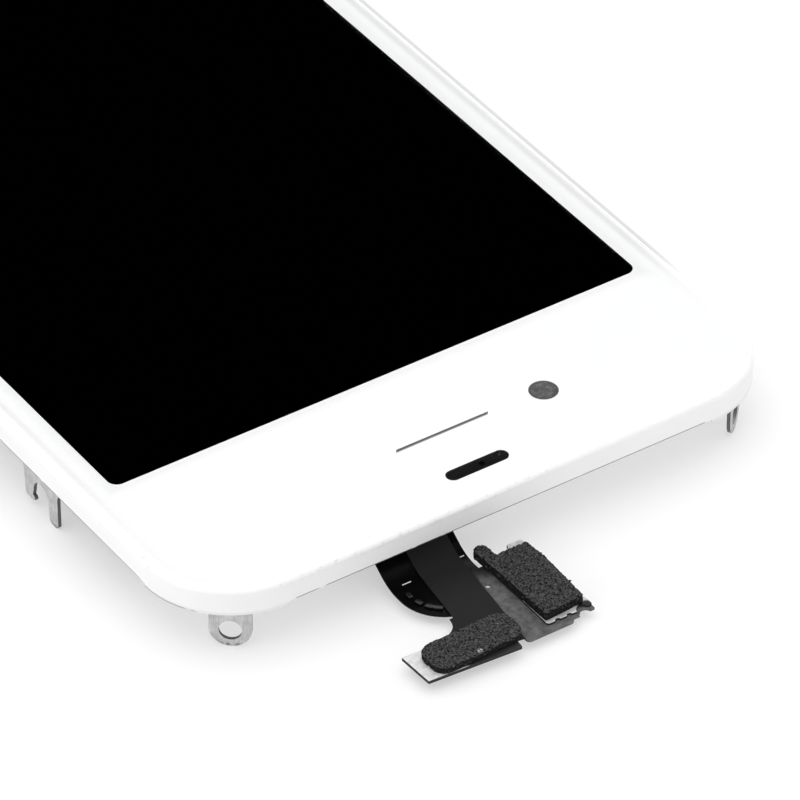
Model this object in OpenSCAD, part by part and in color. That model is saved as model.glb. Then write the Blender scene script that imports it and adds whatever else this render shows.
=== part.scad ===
// Phone display assembly: cover glass, touch sensor and liquid crystal module in a moulded
// bezel with a stamped steel frame, and the two flexible circuits that plug into the phone.
// Millimetres. The origin is the middle of the front of the glass, +Z is out of the glass,
// and -Y is the earpiece end, where the two circuits come out.

/* [Display window] */
// Width of the clear window in the printed border
window_w = 50.2; // [45:0.1:56]
// Length of the clear window
window_l = 75.2; // [68:0.1:84]
// Corner radius of the window
window_r = 0.9; // [0.3:0.1:2]

/* [Cover glass] */
// Thickness of the cover glass
glass_t = 0.5; // [0.4:0.05:0.8]
// Printed border beside the window
side_border = 2.35; // [2.1:0.05:4]
// Printed border at the earpiece end
near_border = 16.65; // [16:0.05:20]
// Printed border at the home button end
far_border = 19.65; // [18.5:0.05:24]
// Corner radius of the glass
glass_r = 7.35; // [6:0.05:9]
// Bevel ground round the front edge of the glass
glass_bevel = 0.1; // [0.04:0.01:0.15]
// Thickness of the border print
print_t = 0.04; // [0.03:0.01:0.08]

/* [Openings in the border] */
// Length of the earpiece slot
slot_l = 9.9; // [8:0.1:12]
// Width of the earpiece slot
slot_w = 0.95; // [0.8:0.05:1.6]
// Slot centre from the near edge of the glass
slot_from_edge = 7.45; // [7:0.05:8.5]
// Diameter of the camera window
camera_d = 2.44; // [2:0.02:3]
// Camera window centre to the right of the middle
camera_x = 9.75; // [9.5:0.05:12]
// Camera window centre from the near edge of the glass
camera_from_edge = 7.95; // [7:0.05:9]
// Length of the sensor window
sensor_l = 5.8; // [4.5:0.1:7]
// Width of the sensor window
sensor_w = 1.3; // [1:0.1:1.6]
// Sensor window centre from the near edge of the glass
sensor_from_edge = 3.05; // [2.9:0.05:3.6]
// Diameter of the home button hole
home_d = 10.8; // [9.5:0.1:11.2]
// Home button centre from the far edge of the glass
home_from_edge = 9.8; // [9:0.1:10.4]

/* [Bezel] */
// Wall of the bezel outside the glass
rim_w = 0.6; // [0.5:0.05:0.9]
// Gap between the glass and the bezel
glass_gap = 0.05; // [0.03:0.01:0.1]
// How far the rim stays below the front of the glass
rim_drop = 0.2; // [0.05:0.01:0.25]
// Rounding of the outer front edge of the rim
rim_round = 0.35; // [0.15:0.05:0.5]
// Depth of the wall from the front of the glass
wall_depth = 2.2; // [2:0.05:2.6]
// How much deeper the wall is at the corners
corner_extra = 0.25; // [0.1:0.05:0.4]
// Thickness of the ledge and webs that carry the glass
ledge_t = 0.36; // [0.3:0.02:0.38]
// Border adhesive between the print and the ledge
adhesive_t = 0.1; // [0.08:0.01:0.12]
// Gap between the liquid crystal module and the bezel
module_gap = 0.3; // [0.2:0.05:0.4]
// Depth of the collars and ribs below the webs
collar_h = 0.8; // [0.5:0.05:1]
// Wall of the collars and ribs
collar_wall = 0.6; // [0.4:0.05:0.8]

/* [Steel frame] */
// Thickness of the sheet
steel_t = 0.3; // [0.2:0.02:0.34]
// Plastic left outside the steel band
steel_cover = 0.4; // [0.35:0.05:0.45]
// How far the band shows below the bezel wall
band_show = 0.07; // [0.03:0.01:0.12]
// Depth of the tab tips from the front of the glass
tab_depth = 6.3; // [5.9:0.1:7.5]
// Width of a corner tab
corner_tab_w = 3.4; // [3.2:0.1:4.2]
// Outer face of a corner tab inside the bezel's round corner
corner_tab_inset = 1.1; // [1:0.05:1.2]
// How far a corner tab sits from the middle of its corner, towards the end
corner_tab_shift = 1.3; // [0:0.02:1.4]
// Turn of a corner tab past the middle of its corner, towards the end
corner_tab_turn = 4; // [0:0.5:5]
// Diameter of the hole in a corner tab
tab_hole_d = 1.85; // [1.6:0.05:2.2]
// Middle of that hole above the tip of the tab
tab_hole_up = 1.55; // [1.5:0.05:1.9]
// Width of a side fork
fork_w = 5; // [4.4:0.1:6]
// Width of one prong of a side fork
prong_w = 1.25; // [1:0.05:1.5]
// How much shorter the far prong is
prong_short = 0.6; // [0:0.1:0.8]
// Depth of the fork's slot top from the front of the glass
fork_slot_top = 3.4; // [3.2:0.1:3.8]
// Distance between the forks along a side
fork_pitch = 32.3; // [28:0.1:34]

/* [Touch sensor] */
// Clear adhesive between the cover glass and the sensor
touch_bond_t = 0.15; // [0.12:0.01:0.2]
// Thickness of the touch sensor glass
touch_t = 0.4; // [0.35:0.01:0.5]
// Touch sensor past the window on three sides
touch_margin = 0.9; // [0.6:0.1:1.1]
// Touch sensor past the window at the earpiece end
touch_ledge = 3; // [2.6:0.1:3.4]

/* [Liquid crystal module] */
// Clear adhesive between the touch sensor and the display
display_bond_t = 0.1; // [0.08:0.01:0.15]
// Thickness of each polarizer
polarizer_t = 0.12; // [0.1:0.01:0.15]
// Thickness of each display glass
cell_t = 0.25; // [0.2:0.01:0.3]
// Array glass past the window at the earpiece end
array_ledge = 5; // [4.6:0.1:5.2]
// Thickness of one backlight film
film_t = 0.06; // [0.05:0.01:0.08]
// Thickness of the light guide
guide_t = 0.4; // [0.35:0.05:0.6]
// Thickness of the tray
tray_t = 0.2; // [0.15:0.01:0.25]
// Module past the window on three sides
module_margin = 1.1; // [1.05:0.05:1.3]
// Module past the window at the earpiece end
module_ledge = 5.6; // [5.6:0.1:6]
// Width of the dark tape on the back of the tray
tape_w = 2; // [1.5:0.1:4]
// Number of lamps along the light guide
lamp_count = 6; // [4:1:8]

/* [Flexible circuits] */
// Thickness of a flexible circuit
flex_t = 0.12; // [0.1:0.01:0.14]
// Gap between the two circuits where one lies on the other
flex_gap = 0.03; // [0.02:0.01:0.06]
// Slope of the circuits between the module and the connectors
flex_slope = 35; // [25:1:45]
// Bend radius of the circuits
flex_bend_r = 4; // [3:0.1:4.5]
// Where the circuits come level, past the near face of the bezel
flex_level_y = 1.2; // [0.8:0.1:1.5]
// Width of the display circuit
display_flex_w = 7.3; // [6.6:0.1:7.6]
// Middle of the display circuit from the centre line
display_flex_x = -7.15; // [-7.4:0.05:-6.8]
// Width of the touch circuit
touch_flex_w = 3.8; // [3.4:0.1:4.2]
// Middle of the touch circuit from the centre line, where it leaves the module
touch_flex_x = -6.1; // [-6.3:0.05:-5.9]
// Lean of the touch circuit in plan
touch_flex_lean = 7; // [5:0.5:8]

/* [Connectors] */
// Height of a connector below its circuit
connector_h = 0.76; // [0.7:0.02:0.9]
// Thickness of a connector stiffener
stiffener_t = 0.18; // [0.12:0.02:0.25]
// Display stiffener, across
display_stiff_w = 4.2; // [4:0.1:4.6]
// Display stiffener, along
display_stiff_l = 10.2; // [9.8:0.1:10.6]
// Height of the foam on the display stiffener
display_foam_h = 0.85; // [0.6:0.05:1.1]
// Middle of the display connector from the centre line
display_con_x = -0.95; // [-1.05:0.05:-0.8]
// Middle of the display connector past the near face of the bezel
display_con_y = 5.85; // [5.6:0.05:6.2]
// Turn of the display connector in plan
display_con_turn = 0; // [-1:0.5:1]
// Touch stiffener, across
touch_stiff_w = 8.5; // [8.2:0.1:8.8]
// Touch stiffener, along
touch_stiff_l = 3.45; // [3.2:0.05:3.8]
// Height of the foam on the touch stiffener
touch_foam_h = 0.65; // [0.4:0.05:0.9]
// Middle of the touch connector from the centre line
touch_con_x = -10.4; // [-10.6:0.05:-10.3]
// Middle of the touch connector past the near face of the bezel
touch_con_y = 9.6; // [9.5:0.05:9.9]
// Turn of the touch connector in plan
touch_con_turn = -4; // [-5:0.5:-3]
// Contacts in one row of the display connector
display_pins = 14; // [8:1:16]
// Contacts in one row of the touch connector
touch_pins = 10; // [6:1:12]

/* [Hidden] */
$fn = 96;
// Overlap that makes cuts run clean through a face
cut = 0.1;

// Plan sizes
glass_w = window_w + 2 * side_border;
glass_l = near_border + window_l + far_border;
bezel_w = glass_w + 2 * (glass_gap + rim_w);
bezel_l = glass_l + 2 * (glass_gap + rim_w);
bezel_r = glass_r + glass_gap + rim_w;
near_edge = -glass_l / 2;
far_edge = glass_l / 2;
near_face = -bezel_l / 2;
window_near = near_edge + near_border;
window_far = window_near + window_l;
slot_y = near_edge + slot_from_edge;
camera_y = near_edge + camera_from_edge;
sensor_y = near_edge + sensor_from_edge;
home_y = far_edge - home_from_edge;

// Levels, from the front of the glass down
print_z = -glass_t - print_t;
adhesive_z = print_z - adhesive_t;
ledge_z = adhesive_z - ledge_t;
touch_top = -glass_t - touch_bond_t;
touch_z = touch_top - touch_t;
polarizer_top = touch_z - display_bond_t;
filter_top = polarizer_top - polarizer_t;
array_top = filter_top - cell_t;
array_z = array_top - cell_t;
rear_polarizer_z = array_z - polarizer_t;
film_clearance = 0.04;
upper_film_top = rear_polarizer_z - film_clearance;
lower_film_top = upper_film_top - film_t;
diffuser_top = lower_film_top - film_t;
guide_top = diffuser_top - film_t;
guide_z = guide_top - guide_t;
reflector_z = guide_z - film_t;
tray_z = reflector_z - tray_t;
tape_t = 0.05;

// Margins of the layers past the window
film_margin = 0.4;
frame_margin = 0.5;
array_margin = 0.8;
filter_ledge = 1.2;
lamp_ledge = 2.2;

// Steel band
band_top = ledge_z - 0.05;
band_bottom = -wall_depth - band_show;
corner_x = bezel_w / 2 - bezel_r;
corner_y = bezel_l / 2 - bezel_r;
corner_tab_reach = bezel_r - corner_tab_inset;

// Circuits and connectors
floor_z = -tab_depth;
connector_lift = 0.02;
display_flex_z = floor_z + connector_lift + connector_h;
display_flex_top = display_flex_z + flex_t;
touch_flex_z = display_flex_top + flex_gap;
touch_flex_top = touch_flex_z + flex_t;
touch_connector_h = touch_flex_z - floor_z - connector_lift;
level_y = near_face - flex_level_y;
bend_steps = 12;

// Plain shapes

module rounded_rect(w, l, r) {
    square([w - 2 * r, l], center = true);
    square([w, l - 2 * r], center = true);
    for (sx = [-1, 1], sy = [-1, 1])
        translate([sx * (w / 2 - r), sy * (l / 2 - r)]) circle(r = r);
}

// Rectangle from one pair of limits to another, with round corners
module rounded_box(x0, x1, y0, y1, r) {
    translate([(x0 + x1) / 2, (y0 + y1) / 2]) rounded_rect(x1 - x0, y1 - y0, r);
}

module pill(l, w) {
    square([l - w, w], center = true);
    for (sx = [-1, 1]) translate([sx * (l - w) / 2, 0]) circle(d = w);
}

// Slab between two levels
module layer(top, bottom) {
    translate([0, 0, bottom]) linear_extrude(top - bottom) children();
}

// Area of the window grown by a margin, with its own margin at the earpiece end
module window_area(margin, near, r) {
    rounded_box(-window_w / 2 - margin, window_w / 2 + margin,
                window_near - near, window_far + margin, r);
}

// Carries a section round a rounded rectangle. In the section, X is 0 on the outline and
// negative inside it, and Y is the height.
module around(w, l, r) {
    for (k = [0 : 3]) {
        along_y = k % 2 == 0;
        rotate(90 * k)
            translate([(along_y ? w : l) / 2, (along_y ? l : w) / 2 - r, 0])
                rotate([90, 0, 0]) linear_extrude((along_y ? l : w) - 2 * r) children();
    }
    at_corners(w, l, r) rotate_extrude(angle = 90) translate([r, 0]) children();
}

// Puts a quarter piece at each corner of a rounded rectangle
module at_corners(w, l, r) {
    for (k = [0 : 3]) {
        sx = k == 0 || k == 3 ? 1 : -1;
        sy = k < 2 ? 1 : -1;
        translate([sx * (w / 2 - r), sy * (l / 2 - r), 0]) rotate(90 * k) children();
    }
}

// Glass and its print

module border_openings(extra) {
    translate([0, slot_y]) pill(slot_l, slot_w);
    translate([camera_x, camera_y]) circle(d = camera_d + extra);
    translate([0, sensor_y]) pill(sensor_l + extra, sensor_w + extra);
    translate([0, home_y]) circle(d = home_d + extra);
}

module cover_glass() {
    color("white", 0.35) difference() {
        union() {
            layer(-glass_bevel, -glass_t) rounded_rect(glass_w, glass_l, glass_r);
            layer(0, -glass_bevel - cut)
                rounded_rect(glass_w - 2 * glass_bevel, glass_l - 2 * glass_bevel,
                             glass_r - glass_bevel);
            around(glass_w, glass_l, glass_r)
                polygon([[-2 * glass_bevel, -2 * glass_bevel], [0, -2 * glass_bevel],
                         [0, -glass_bevel], [-glass_bevel, 0], [-2 * glass_bevel, 0]]);
        }
        layer(cut, -glass_t - cut) {
            translate([0, slot_y]) pill(slot_l, slot_w);
            translate([0, home_y]) circle(d = home_d);
        }
    }
}

module border_print() {
    color("white") layer(-glass_t, print_z) difference() {
        rounded_rect(glass_w, glass_l, glass_r);
        window_area(0, 0, window_r);
        border_openings(0);
    }
}

module camera_window() {
    color("dimgray") layer(-glass_t, print_z)
        translate([camera_x, camera_y]) circle(d = camera_d);
}

module sensor_window() {
    color("black") layer(-glass_t, print_z) translate([0, sensor_y]) pill(sensor_l, sensor_w);
}

// Room that the module needs in the ledge, and the two cross webs beyond it
module ledge_opening() {
    rounded_box(-window_w / 2 - module_margin - module_gap,
                window_w / 2 + module_margin + module_gap,
                window_near - module_ledge - module_gap,
                window_far + module_margin + module_gap, 0.5);
}

module border_adhesive() {
    inset = 0.2;
    color("gainsboro") layer(print_z, adhesive_z) difference() {
        rounded_rect(glass_w - 2 * inset, glass_l - 2 * inset, glass_r - inset);
        ledge_opening();
        border_openings(0.4);
    }
}

// Touch sensor

module touch_bond() {
    color("white", 0.3) union() {
        layer(-glass_t, touch_top) window_area(0, 0, window_r);
        layer(print_z, touch_top)
            window_area(touch_margin - 0.2, touch_ledge - 1.6, window_r);
    }
}

module touch_sensor() {
    color("lightcyan", 0.4) layer(touch_top, touch_z)
        window_area(touch_margin, touch_ledge, 0.4);
}

// Liquid crystal cell

module display_bond() {
    color("white", 0.3) layer(touch_z, polarizer_top) window_area(film_margin, 0.6, 0.3);
}

module front_polarizer() {
    color("#101012") layer(polarizer_top, filter_top) window_area(film_margin, 0.6, 0.3);
}

module filter_glass() {
    color("#202830") layer(filter_top, array_top)
        window_area(array_margin, filter_ledge, 0.15);
}

module array_glass() {
    color("#303840") layer(array_top, array_z) window_area(array_margin, array_ledge, 0.15);
}

module driver_chip() {
    chip_l = 20;
    chip_w = 1;
    chip_t = 0.22;
    color("#25252a") layer(array_top + chip_t, array_top)
        translate([0, window_near - filter_ledge - 0.8])
            square([chip_l, chip_w], center = true);
}

module rear_polarizer() {
    color("#1a1a1e") layer(array_z, rear_polarizer_z) window_area(film_margin, 0.6, 0.3);
}

// Backlight

module upper_prism_film() {
    color("white", 0.6) layer(upper_film_top, lower_film_top)
        window_area(film_margin, 0.8, 0.3);
}

module lower_prism_film() {
    color("white", 0.6) layer(lower_film_top, diffuser_top)
        window_area(film_margin, 0.8, 0.3);
}

module diffuser_film() {
    color("white", 0.8) layer(diffuser_top, guide_top) window_area(film_margin, 0.8, 0.3);
}

module light_guide() {
    color("white", 0.5) layer(guide_top, guide_z) window_area(film_margin, lamp_ledge, 0.3);
}

module reflector_film() {
    color("white") layer(guide_z, reflector_z) window_area(film_margin, lamp_ledge, 0.3);
}

lamp_l = 3;
lamp_w = 0.9;
lamp_gap = 0.1;
lamp_y = window_near - lamp_ledge - lamp_gap - lamp_w / 2;
lamp_span = window_w - 2 * lamp_l;

module lamp_circuit() {
    circuit_w = lamp_w + 0.6;
    color("#c09040") layer(guide_top + flex_t, guide_top)
        translate([0, lamp_y]) square([window_w - lamp_l, circuit_w], center = true);
}

module lamps() {
    color("khaki") layer(guide_top, guide_z)
        for (k = [0 : lamp_count - 1])
            translate([-lamp_span / 2 + k * lamp_span / (lamp_count - 1), lamp_y])
                square([lamp_l, lamp_w], center = true);
}

module module_area(inset, r) {
    window_area(module_margin - inset, module_ledge - inset, r);
}

// Moulded ring that holds the films, with a pocket for the lamps
module backlight_frame() {
    wall_gap = 0.03;
    pocket = 0.15;
    color("white") difference() {
        layer(array_z, reflector_z) difference() {
            module_area(tray_t + wall_gap, 0.4);
            window_area(frame_margin, lamp_ledge + lamp_gap, 0.3);
        }
        layer(guide_top + flex_t + pocket, reflector_z - cut)
            translate([0, lamp_y + cut])
                square([window_w - lamp_l + 2 * pocket, lamp_w + 0.6 + 2 * pocket + 2 * cut],
                       center = true);
    }
}

// Pressed steel tray with a low wall all round and a shallow panel in its floor
module lcd_tray() {
    wall_top = array_top - 0.1;
    panel_inset = 6;
    panel_rise = 0.06;
    color("silver") difference() {
        layer(wall_top, tray_z) module_area(0, 0.6);
        layer(wall_top + cut, reflector_z) module_area(tray_t, 0.4);
        layer(tray_z + panel_rise, tray_z - cut) module_area(panel_inset, 1.5);
    }
}

module tray_tape() {
    color("#18181a") layer(tray_z, tray_z - tape_t) difference() {
        module_area(0.2, 0.5);
        module_area(tape_w, 0.8);
    }
}

// Bezel

module bezel_section() {
    ledge_in = (bezel_w - window_w) / 2 - module_margin - module_gap;
    difference() {
        union() {
            translate([-rim_w, -wall_depth]) square([rim_w, wall_depth - rim_drop - rim_round]);
            translate([-rim_w, -rim_drop - rim_round - cut])
                square([rim_w - rim_round, rim_round + cut]);
            translate([-rim_round, -rim_drop - rim_round]) intersection() {
                circle(r = rim_round);
                square(rim_round);
            }
            translate([-ledge_in, ledge_z]) square([ledge_in - steel_cover, ledge_t]);
        }
        translate([-rim_w - cut, -wall_depth - cut])
            square([rim_w - steel_cover + cut, wall_depth + cut + band_top]);
    }
}

module bezel_webs() {
    inset = (bezel_w - glass_w) / 2;
    layer(adhesive_z, ledge_z) difference() {
        rounded_rect(bezel_w - 2 * inset, bezel_l - 2 * inset, bezel_r - inset);
        ledge_opening();
        translate([0, slot_y]) pill(slot_l, slot_w);
        translate([camera_x, camera_y]) circle(d = camera_d + 0.8);
        translate([0, sensor_y]) pill(sensor_l + 0.8, sensor_w + 0.8);
        translate([0, home_y]) circle(d = home_d + 1.6);
    }
}

// Rings and ribs on the hidden side of the webs
module bezel_collars() {
    bottom = ledge_z - collar_h;
    rib_l = 7;
    layer(ledge_z, bottom) {
        translate([camera_x, camera_y]) difference() {
            circle(d = camera_d + 0.8 + 2 * collar_wall);
            circle(d = camera_d + 0.8);
        }
        translate([0, home_y]) difference() {
            circle(d = home_d + 1.6 + 2 * collar_wall);
            circle(d = home_d + 1.6);
        }
        translate([camera_x + 4.5, slot_y - rib_l / 2]) square([collar_wall, rib_l]);
        for (sx = [-1, 1])
            translate([sx * (home_d + 2) - collar_wall / 2, home_y - rib_l / 2])
                square([collar_wall, rib_l]);
    }
}

module bezel() {
    color("white") union() {
        around(bezel_w, bezel_l, bezel_r) bezel_section();
        at_corners(bezel_w, bezel_l, bezel_r) rotate_extrude(angle = 90)
            translate([bezel_r - steel_cover, -wall_depth - corner_extra])
                square([steel_cover, corner_extra + cut]);
        bezel_webs();
        bezel_collars();
    }
}

// Steel frame

// Outline of the band: it follows the wall and cuts across the corners
module band_area(inset) {
    w = bezel_w - 2 * (steel_cover + inset);
    l = bezel_l - 2 * (steel_cover + inset);
    a = 45 + corner_tab_turn;
    middle = [corner_x, corner_y]
        + [corner_tab_reach - corner_tab_shift, corner_tab_reach + corner_tab_shift] / sqrt(2);
    away = middle * [cos(a), sin(a)] - inset;
    x = (away - sin(a) * l / 2) / cos(a);
    y = (away - cos(a) * w / 2) / sin(a);
    intersection() {
        rounded_rect(w, l, bezel_r - steel_cover - inset);
        polygon([[w / 2, -y], [w / 2, y], [x, l / 2], [-x, l / 2],
                 [-w / 2, y], [-w / 2, -y], [-x, -l / 2], [x, -l / 2]]);
    }
}

// Corner tab in the plane of the sheet: X across, Y up from the front of the glass
module corner_tab_outline() {
    r = corner_tab_w / 2;
    difference() {
        union() {
            translate([0, floor_z + r]) circle(r = r);
            translate([-r, floor_z + r]) square([corner_tab_w, band_top - floor_z - r]);
        }
        translate([0, floor_z + tab_hole_up]) circle(d = tab_hole_d);
    }
}

// Side fork in the plane of the sheet, the longer prong on the side of negative X. The
// shorter one has a square foot that turns in towards the longer one.
module fork_outline() {
    half = fork_w / 2;
    tip = 0.42;
    foot_r = 0.25;
    foot_in = 0.3;
    outer_in = 0.15;
    gap = fork_w - 2 * prong_w;
    crown_r = gap / 2 - 0.15;
    crown_z = -fork_slot_top - crown_r;
    root_z = band_bottom + 0.4;
    flare = 0.6;
    near_tip = floor_z + tip;
    far_tip = floor_z + prong_short;
    polygon([[-half - flare, root_z], [-half, -fork_slot_top + 0.2],
             [-half, near_tip], [-half + prong_w, near_tip],
             [-crown_r, crown_z], [-crown_r, -fork_slot_top + 0.4],
             [crown_r, -fork_slot_top + 0.4], [crown_r, crown_z],
             [half - prong_w, far_tip + foot_r + 0.3],
             [half - prong_w - foot_in, far_tip + foot_r],
             [half - outer_in, far_tip + foot_r], [half, -fork_slot_top + 0.2],
             [half + flare, root_z]]);
    difference() {
        translate([-crown_r - cut, crown_z]) square([2 * (crown_r + cut), crown_r + 0.5]);
        translate([0, crown_z]) circle(r = crown_r);
        translate([-crown_r, crown_z - cut]) square([2 * crown_r, cut]);
    }
    for (x = [-half + tip, -half + prong_w - tip]) translate([x, near_tip]) circle(r = tip);
    translate([-half + tip, floor_z]) square([prong_w - 2 * tip, tip + 0.05]);
    translate([(2 * half - prong_w - foot_in - outer_in) / 2, far_tip + foot_r])
        rounded_rect(prong_w + foot_in - outer_in, 2 * foot_r, foot_r - 0.01);
}

// Stands a sheet outline up, its outer face on the plane X = 0
module stand_sheet() {
    translate([-steel_t, 0, 0]) rotate([90, 0, 90]) linear_extrude(steel_t) children();
}

module steel_frame() {
    color("#b8b8b8") union() {
        layer(band_top, band_bottom) difference() {
            band_area(0);
            band_area(steel_t);
        }
        for (sx = [0, 1], sy = [0, 1])
            mirror([sx, 0, 0]) mirror([0, sy, 0])
                translate([corner_x, corner_y, 0]) rotate(45)
                    translate([corner_tab_reach, corner_tab_shift, 0]) rotate(corner_tab_turn)
                        stand_sheet() corner_tab_outline();
        for (sx = [0, 1], k = [-1 : 1])
            mirror([sx, 0, 0])
                translate([bezel_w / 2 - steel_cover, k * fork_pitch, 0])
                    stand_sheet() fork_outline();
    }
}

// Circuits

// Points along an arc, from one angle to another
function arc_points(centre, r, a0, a1) =
    [for (k = [0 : bend_steps]) let (a = a0 + (a1 - a0) * k / bend_steps)
        centre + r * [cos(a), sin(a)]];

// Side view of a circuit, X along the object and Y up. It runs level under the connectors,
// curves up, climbs at the slope, and curves level again into the module.
module circuit_profile(low_z, high_z, low_r, start_y, end_y) {
    high_r = flex_bend_r;
    a = flex_slope;
    rise = high_z - low_z - (low_r + high_r) * (1 - cos(a));
    top_y = level_y + (low_r + high_r) * sin(a) + rise / tan(a);
    low_centre = [level_y, low_z + low_r];
    high_centre = [top_y, high_z - high_r];
    polygon(concat(
        [[start_y, low_z]],
        arc_points(low_centre, low_r, -90, a - 90),
        arc_points(high_centre, high_r, 90 + a, 90),
        [[end_y, high_z], [end_y, high_z + flex_t]],
        arc_points(high_centre, high_r + flex_t, 90, 90 + a),
        arc_points(low_centre, low_r - flex_t, a - 90, -90),
        [[start_y, low_z + flex_t]]));
}

// Sheet with that side view, trimmed to an outline in plan
module circuit_sheet(low_z, high_z, low_r, start_y, end_y) {
    half_room = 20;
    intersection() {
        translate([-half_room, 0, 0]) rotate([90, 0, 90]) linear_extrude(2 * half_room)
            circuit_profile(low_z, high_z, low_r, start_y, end_y);
        layer(0, floor_z) children();
    }
}

module at_display_connector() {
    translate([display_con_x, near_face - display_con_y]) rotate(display_con_turn) children();
}

module at_touch_connector() {
    translate([touch_con_x, near_face - touch_con_y]) rotate(touch_con_turn) children();
}

// End of the display circuit, in its connector's own plan: a round notch at the back, and at
// the front a bite that leaves a small ear
module display_end_outline(front) {
    half_w = display_stiff_w / 2;
    half_l = display_stiff_l / 2;
    notch_r = 1.1;
    bite_r = 0.55;
    ear_w = 0.36;
    difference() {
        rounded_box(-half_w, half_w, front, half_l, 0.25);
        translate([-0.35, half_l + 0.15]) circle(r = notch_r);
        translate([half_w - ear_w - bite_r, front - 0.05]) circle(r = bite_r);
        translate([half_w - ear_w - 0.2, front - cut]) square([ear_w + cut + 0.2, cut + 0.12]);
    }
    rounded_box(half_w - ear_w, half_w + 0.08, front + 0.1, front + 1.2, 0.15);
}

module display_flex_plan() {
    half = display_flex_w / 2;
    left = display_flex_x - half;
    right = display_flex_x + half;
    turn_r = 4;
    half_l = display_stiff_l / 2;
    con_y = near_face - display_con_y;
    low_edge = con_y + 0.2;
    difference() {
        union() {
            translate([left, level_y - 0.5])
                square([display_flex_w, window_near - level_y]);
            translate([left + turn_r, low_edge + turn_r]) intersection() {
                circle(r = turn_r);
                translate([-turn_r, -turn_r]) square(turn_r);
            }
            translate([left, low_edge + turn_r])
                square([display_flex_w, level_y - low_edge - turn_r]);
            translate([left + turn_r, low_edge])
                square([display_con_x - left - turn_r, turn_r]);
            at_display_connector()
                rounded_box(-4.45, 0, -half_l - 0.25, half_l - 1.2, 0.35);
        }
        translate([-4.17, con_y + 1.95]) circle(r = 0.2);
    }
}

module display_flex() {
    color("#0c0c0e") union() {
        circuit_sheet(display_flex_z, array_top, flex_bend_r,
                      near_face - display_con_y - display_stiff_l,
                      window_near - array_ledge + 1.2)
            display_flex_plan();
        layer(display_flex_top, display_flex_z)
            at_display_connector() display_end_outline(-display_stiff_l / 2 + 0.1);
    }
}

// Outline of the touch stiffener: its outer end is cut at a slant
module touch_end_outline() {
    half_w = touch_stiff_w / 2;
    half_l = touch_stiff_l / 2;
    slant = 0.2;
    polygon([[-half_w + slant, -half_l], [half_w, -half_l], [half_w, half_l],
             [-half_w - slant, half_l]]);
}

module touch_flex_plan() {
    half = touch_flex_w / 2;
    far_x = touch_flex_x - half;
    con_y = near_face - touch_con_y;
    fillet_r = 1.7;
    shoulder = 0.6;
    shoulder_x = -2.6;
    run = level_y - con_y + 0.5;
    translate([far_x, level_y - 0.5]) square([touch_flex_w, window_near - level_y + 2]);
    translate([touch_flex_x, level_y + 0.5]) rotate(-touch_flex_lean)
        translate([-half, -run - 1]) square([touch_flex_w, run + 0.8]);
    at_touch_connector() {
        touch_end_outline();
        rounded_box(shoulder_x, 4, 0, touch_stiff_l / 2 + shoulder, 0.9);
        difference() {
            translate([-0.55, touch_stiff_l / 2]) square([4.5, shoulder + fillet_r]);
            translate([-0.55, touch_stiff_l / 2 + shoulder + fillet_r]) circle(r = fillet_r);
        }
    }
}

module touch_flex() {
    color("#2a2a2c")
        circuit_sheet(touch_flex_z, touch_z - flex_t, flex_bend_r - flex_t - flex_gap,
                      near_face - touch_con_y - touch_stiff_l,
                      window_near - touch_ledge + 1.4)
            touch_flex_plan();
}

// Small parts soldered to the display circuit, under its dark cover film
module flex_components() {
    part_l = 0.7;
    part_w = 0.4;
    part_h = 0.25;
    turn_r = 3.15;
    centre = [display_flex_x - display_flex_w / 2 + 4, near_face - display_con_y + 4.2];
    color("#4a4642") translate([0, 0, display_flex_top]) linear_extrude(part_h)
        for (a = [178, 198, 215, 229])
            translate(centre + turn_r * [cos(a), sin(a)]) rotate(a + 90)
                square([part_l, part_w], center = true);
}

// Connectors

module display_stiffener() {
    color("silver") layer(display_flex_top + stiffener_t, display_flex_top)
        at_display_connector() difference() {
            display_end_outline(-display_stiff_l / 2 + 0.5);
            for (x = [-1.15, -0.05])
                translate([x, -display_stiff_l / 2 + 0.45]) circle(r = 0.26);
        }
}

module touch_stiffener() {
    color("silver") layer(touch_flex_top + stiffener_t, touch_flex_top)
        at_touch_connector() touch_end_outline();
}

// Low socket: a wall round a trough with a ridge along its middle
module socket(w, l, h, top) {
    wall = 0.45;
    ridge = 0.7;
    trough = 0.45;
    difference() {
        layer(top, top - h) rounded_rect(w, l, 0.15);
        layer(top - h + trough, top - h - cut) difference() {
            square([w - 2 * wall, l - 2 * wall], center = true);
            square(w > l ? [w - 4 * wall, ridge] : [ridge, l - 4 * wall], center = true);
        }
    }
}

display_con_w = 2.9;
display_con_l = 8;
touch_con_w = 6.4;
touch_con_l = 2;
touch_con_back = 0.3;

module display_connector() {
    color("#1c1c1c") at_display_connector()
        socket(display_con_w, display_con_l, connector_h, display_flex_z);
}

module touch_connector() {
    color("#1c1c1c") at_touch_connector() translate([0, touch_con_back])
        socket(touch_con_w, touch_con_l, touch_connector_h, touch_flex_z);
}

// Two rows of solder feet beside a socket
module contact_rows(count, reach, length, top) {
    foot = 0.16;
    out = 0.35;
    thick = 0.1;
    pitch = (length - 1.6) / (count - 1);
    layer(top, top - thick)
        for (side = [-1, 1], k = [0 : count - 1])
            translate([side * (reach + out / 2), (k - (count - 1) / 2) * pitch])
                square([out, foot], center = true);
}

module display_contacts() {
    color("gold") at_display_connector()
        contact_rows(display_pins, display_con_w / 2, display_con_l, display_flex_z);
}

module touch_contacts() {
    color("gold") at_touch_connector() translate([0, touch_con_back]) rotate(90)
        contact_rows(touch_pins, touch_con_l / 2, touch_con_w, touch_flex_z);
}

// Foam

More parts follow.
